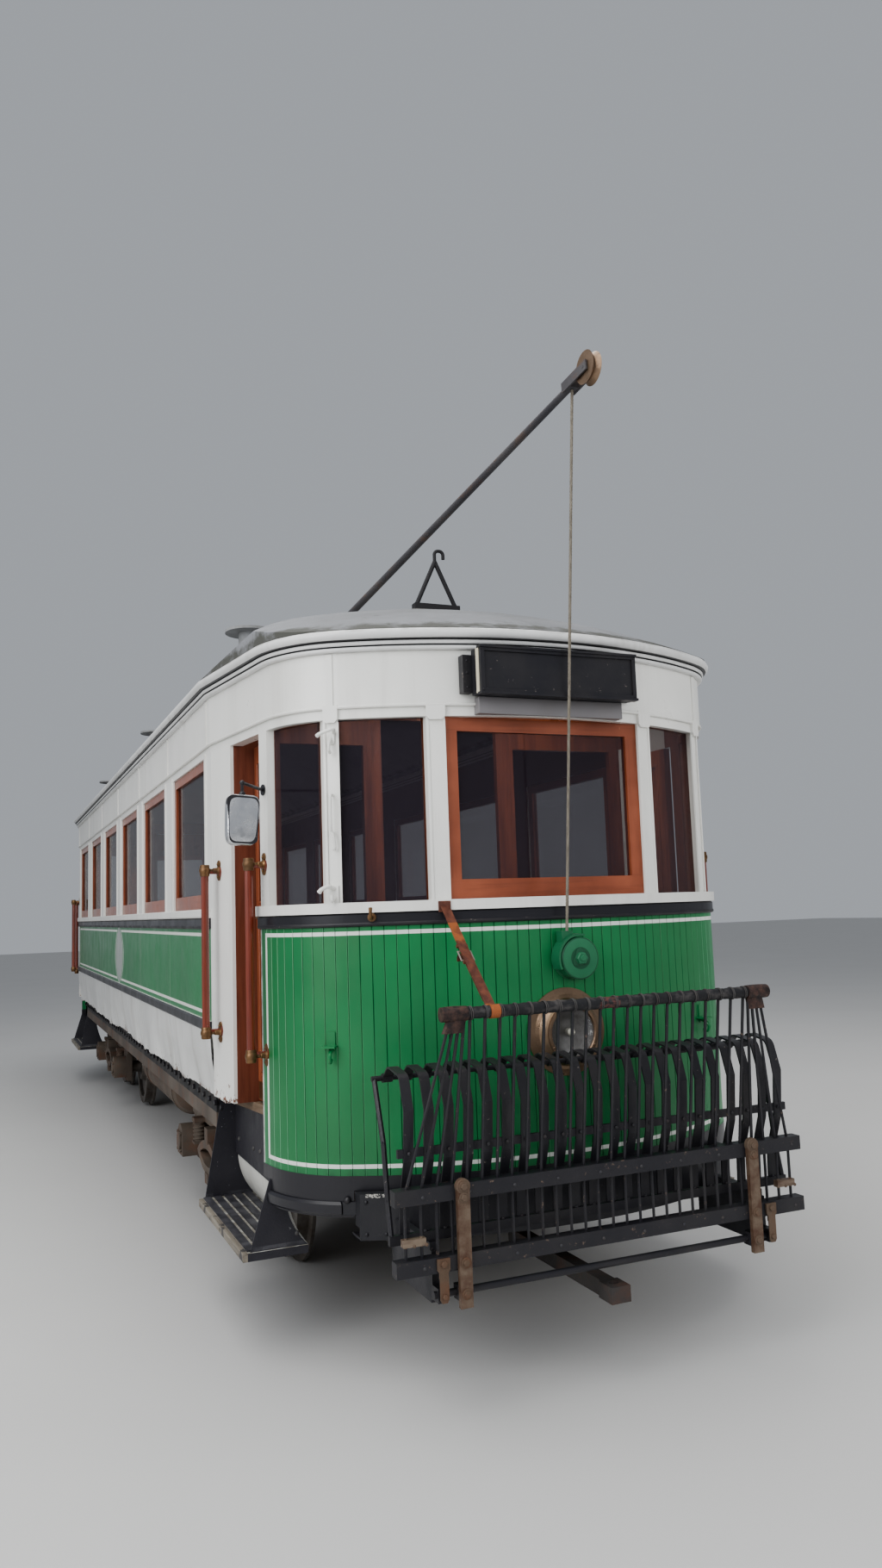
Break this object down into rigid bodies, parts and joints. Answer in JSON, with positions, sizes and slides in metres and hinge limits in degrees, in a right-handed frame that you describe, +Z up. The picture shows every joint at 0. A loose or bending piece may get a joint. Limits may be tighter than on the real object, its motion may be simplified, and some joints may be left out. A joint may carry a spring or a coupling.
{
  "type": "double-ended bogie electric tram",
  "caption": "Double-ended wooden-bodied electric tram on two bogies, with folding wire fenders, four platform doors and a trolley pole.",
  "frame": {"origin": "on the ground line of the wheel flanges, under the middle of the car", "axes": "+Z up, +Y along the car away from end a, +X to the right seen from end a"},
  "size_m": [2.6378, 11.1506, 4.07],
  "materials": {
    "black_steel": "black paint, chipped",
    "body_white": "white enamel",
    "body_green": "green enamel",
    "roof_canvas": "painted canvas",
    "varnished_wood": "varnish",
    "floor_wood": "worn boards",
    "clear_glass": "clear",
    "truck_steel": "dusty rust",
    "tyre_steel": "rolled steel",
    "lamp_bronze": "bronze",
    "retriever_green": "green paint",
    "wheel_bronze": "bronze",
    "rope_hemp": "twisted hemp",
    "strap_leather": "worn leather",
    "mirror_black": "black with bright rim"
  },
  "bodies": {
    "car_body": {"side_left": "body_white", "side_right": "body_white", "window_sashes": "varnished_wood", "saloon_panes": "clear_glass", "centre_sashes": "varnished_wood", "vestibule_panes": "clear_glass", "cornice": "body_white", "roof": "roof_canvas", "floor": "floor_wood", "underframe": "truck_steel", "seats": "varnished_wood", "fender_pivot_bars": "black_steel", "headlamps": "lamp_bronze", "destination_boxes": "black_steel", "rope_retrievers": "retriever_green", "bulkheads": "varnished_wood", "steps": "black_steel", "bumpers": "black_steel", "fender_combs": "black_steel", "fender_hangers": "strap_leather", "mirrors": "mirror_black", "drawbars": "truck_steel", "grab_rails": "varnished_wood", "driver_controls": "black_steel", "air_tank": "truck_steel", "roof_fittings": "roof_canvas", "trolley_base": "black_steel", "vestibule_a": "body_white", "dash_a": "body_green", "vestibule_b": "body_white", "dash_b": "body_green"},
    "apron_a": {"fender_apron_a": "black_steel", "fender_strap_a": "strap_leather"},
    "bogie_a": {"bogie_a": "truck_steel", "motors_a": "truck_steel"},
    "wheelset_a_outer": {"wheelset_a_outer": "tyre_steel"},
    "wheelset_a_inner": {"wheelset_a_inner": "tyre_steel"},
    "door_a_left": {"door_a_left": "varnished_wood"},
    "door_a_right": {"door_a_right": "varnished_wood"},
    "apron_b": {"fender_apron_b": "black_steel", "fender_strap_b": "strap_leather"},
    "bogie_b": {"bogie_b": "truck_steel", "motors_b": "truck_steel"},
    "wheelset_b_outer": {"wheelset_b_outer": "tyre_steel"},
    "wheelset_b_inner": {"wheelset_b_inner": "tyre_steel"},
    "door_b_left": {"door_b_left": "varnished_wood"},
    "door_b_right": {"door_b_right": "varnished_wood"},
    "turntable": {"trolley_turntable": "black_steel", "trolley_rope": "rope_hemp"},
    "pole": {"trolley_pole": "black_steel"},
    "trolley_wheel": {"trolley_wheel": "wheel_bronze"}
  },
  "joints": [
    {"name": "fender_fold_a", "type": "hinge", "parent": "car_body", "child": "apron_a", "pos_m": [0, -5.465, 0.44], "axis": [1, 0, 0], "range_deg": [0, 95]},
    {"name": "bogie_swing_a", "type": "hinge", "parent": "car_body", "child": "bogie_a", "pos_m": [0, -2.66, 0.735], "axis": [0, 0, 1], "range_deg": [-8, 8]},
    {"name": "spin_a_outer", "type": "hinge", "parent": "bogie_a", "child": "wheelset_a_outer", "pos_m": [0, -3.397, 0.378], "axis": [1, 0, 0], "continuous": true},
    {"name": "spin_a_inner", "type": "hinge", "parent": "bogie_a", "child": "wheelset_a_inner", "pos_m": [0, -1.923, 0.378], "axis": [1, 0, 0], "continuous": true},
    {"name": "door_a_left_swing", "type": "hinge", "parent": "car_body", "child": "door_a_left", "pos_m": [-1.0147, -4.154, 1.7], "axis": [0, 0, 1], "range_deg": [0, 85]},
    {"name": "door_a_right_swing", "type": "hinge", "parent": "car_body", "child": "door_a_right", "pos_m": [1.0147, -4.154, 1.7], "axis": [0, 0, -1], "range_deg": [0, 85]},
    {"name": "fender_fold_b", "type": "hinge", "parent": "car_body", "child": "apron_b", "pos_m": [0, 5.465, 0.44], "axis": [-1, 0, 0], "range_deg": [0, 95]},
    {"name": "bogie_swing_b", "type": "hinge", "parent": "car_body", "child": "bogie_b", "pos_m": [0, 2.66, 0.735], "axis": [0, 0, 1], "range_deg": [-8, 8]},
    {"name": "spin_b_outer", "type": "hinge", "parent": "bogie_b", "child": "wheelset_b_outer", "pos_m": [0, 3.397, 0.378], "axis": [1, 0, 0], "continuous": true},
    {"name": "spin_b_inner", "type": "hinge", "parent": "bogie_b", "child": "wheelset_b_inner", "pos_m": [0, 1.923, 0.378], "axis": [1, 0, 0], "continuous": true},
    {"name": "door_b_left_swing", "type": "hinge", "parent": "car_body", "child": "door_b_left", "pos_m": [-1.0147, 4.154, 1.7], "axis": [0, 0, -1], "range_deg": [0, 85]},
    {"name": "door_b_right_swing", "type": "hinge", "parent": "car_body", "child": "door_b_right", "pos_m": [1.0147, 4.154, 1.7], "axis": [0, 0, 1], "range_deg": [0, 85]},
    {"name": "pole_turn", "type": "hinge", "parent": "car_body", "child": "turntable", "pos_m": [0, 0, 3.45], "axis": [0, 0, 1], "continuous": true},
    {"name": "pole_lift", "type": "hinge", "parent": "turntable", "child": "pole", "pos_m": [0, 0, 3.6], "axis": [-0.9999, -0.0119, 0], "range_deg": [-1.2, 28], "deforming": ["trolley_rope"]},
    {"name": "trolley_wheel_spin", "type": "hinge", "parent": "pole", "child": "trolley_wheel", "pos_m": [0.06527, -5.49961, 4], "axis": [0.9999, 0.0119, 0], "continuous": true}
  ]
}
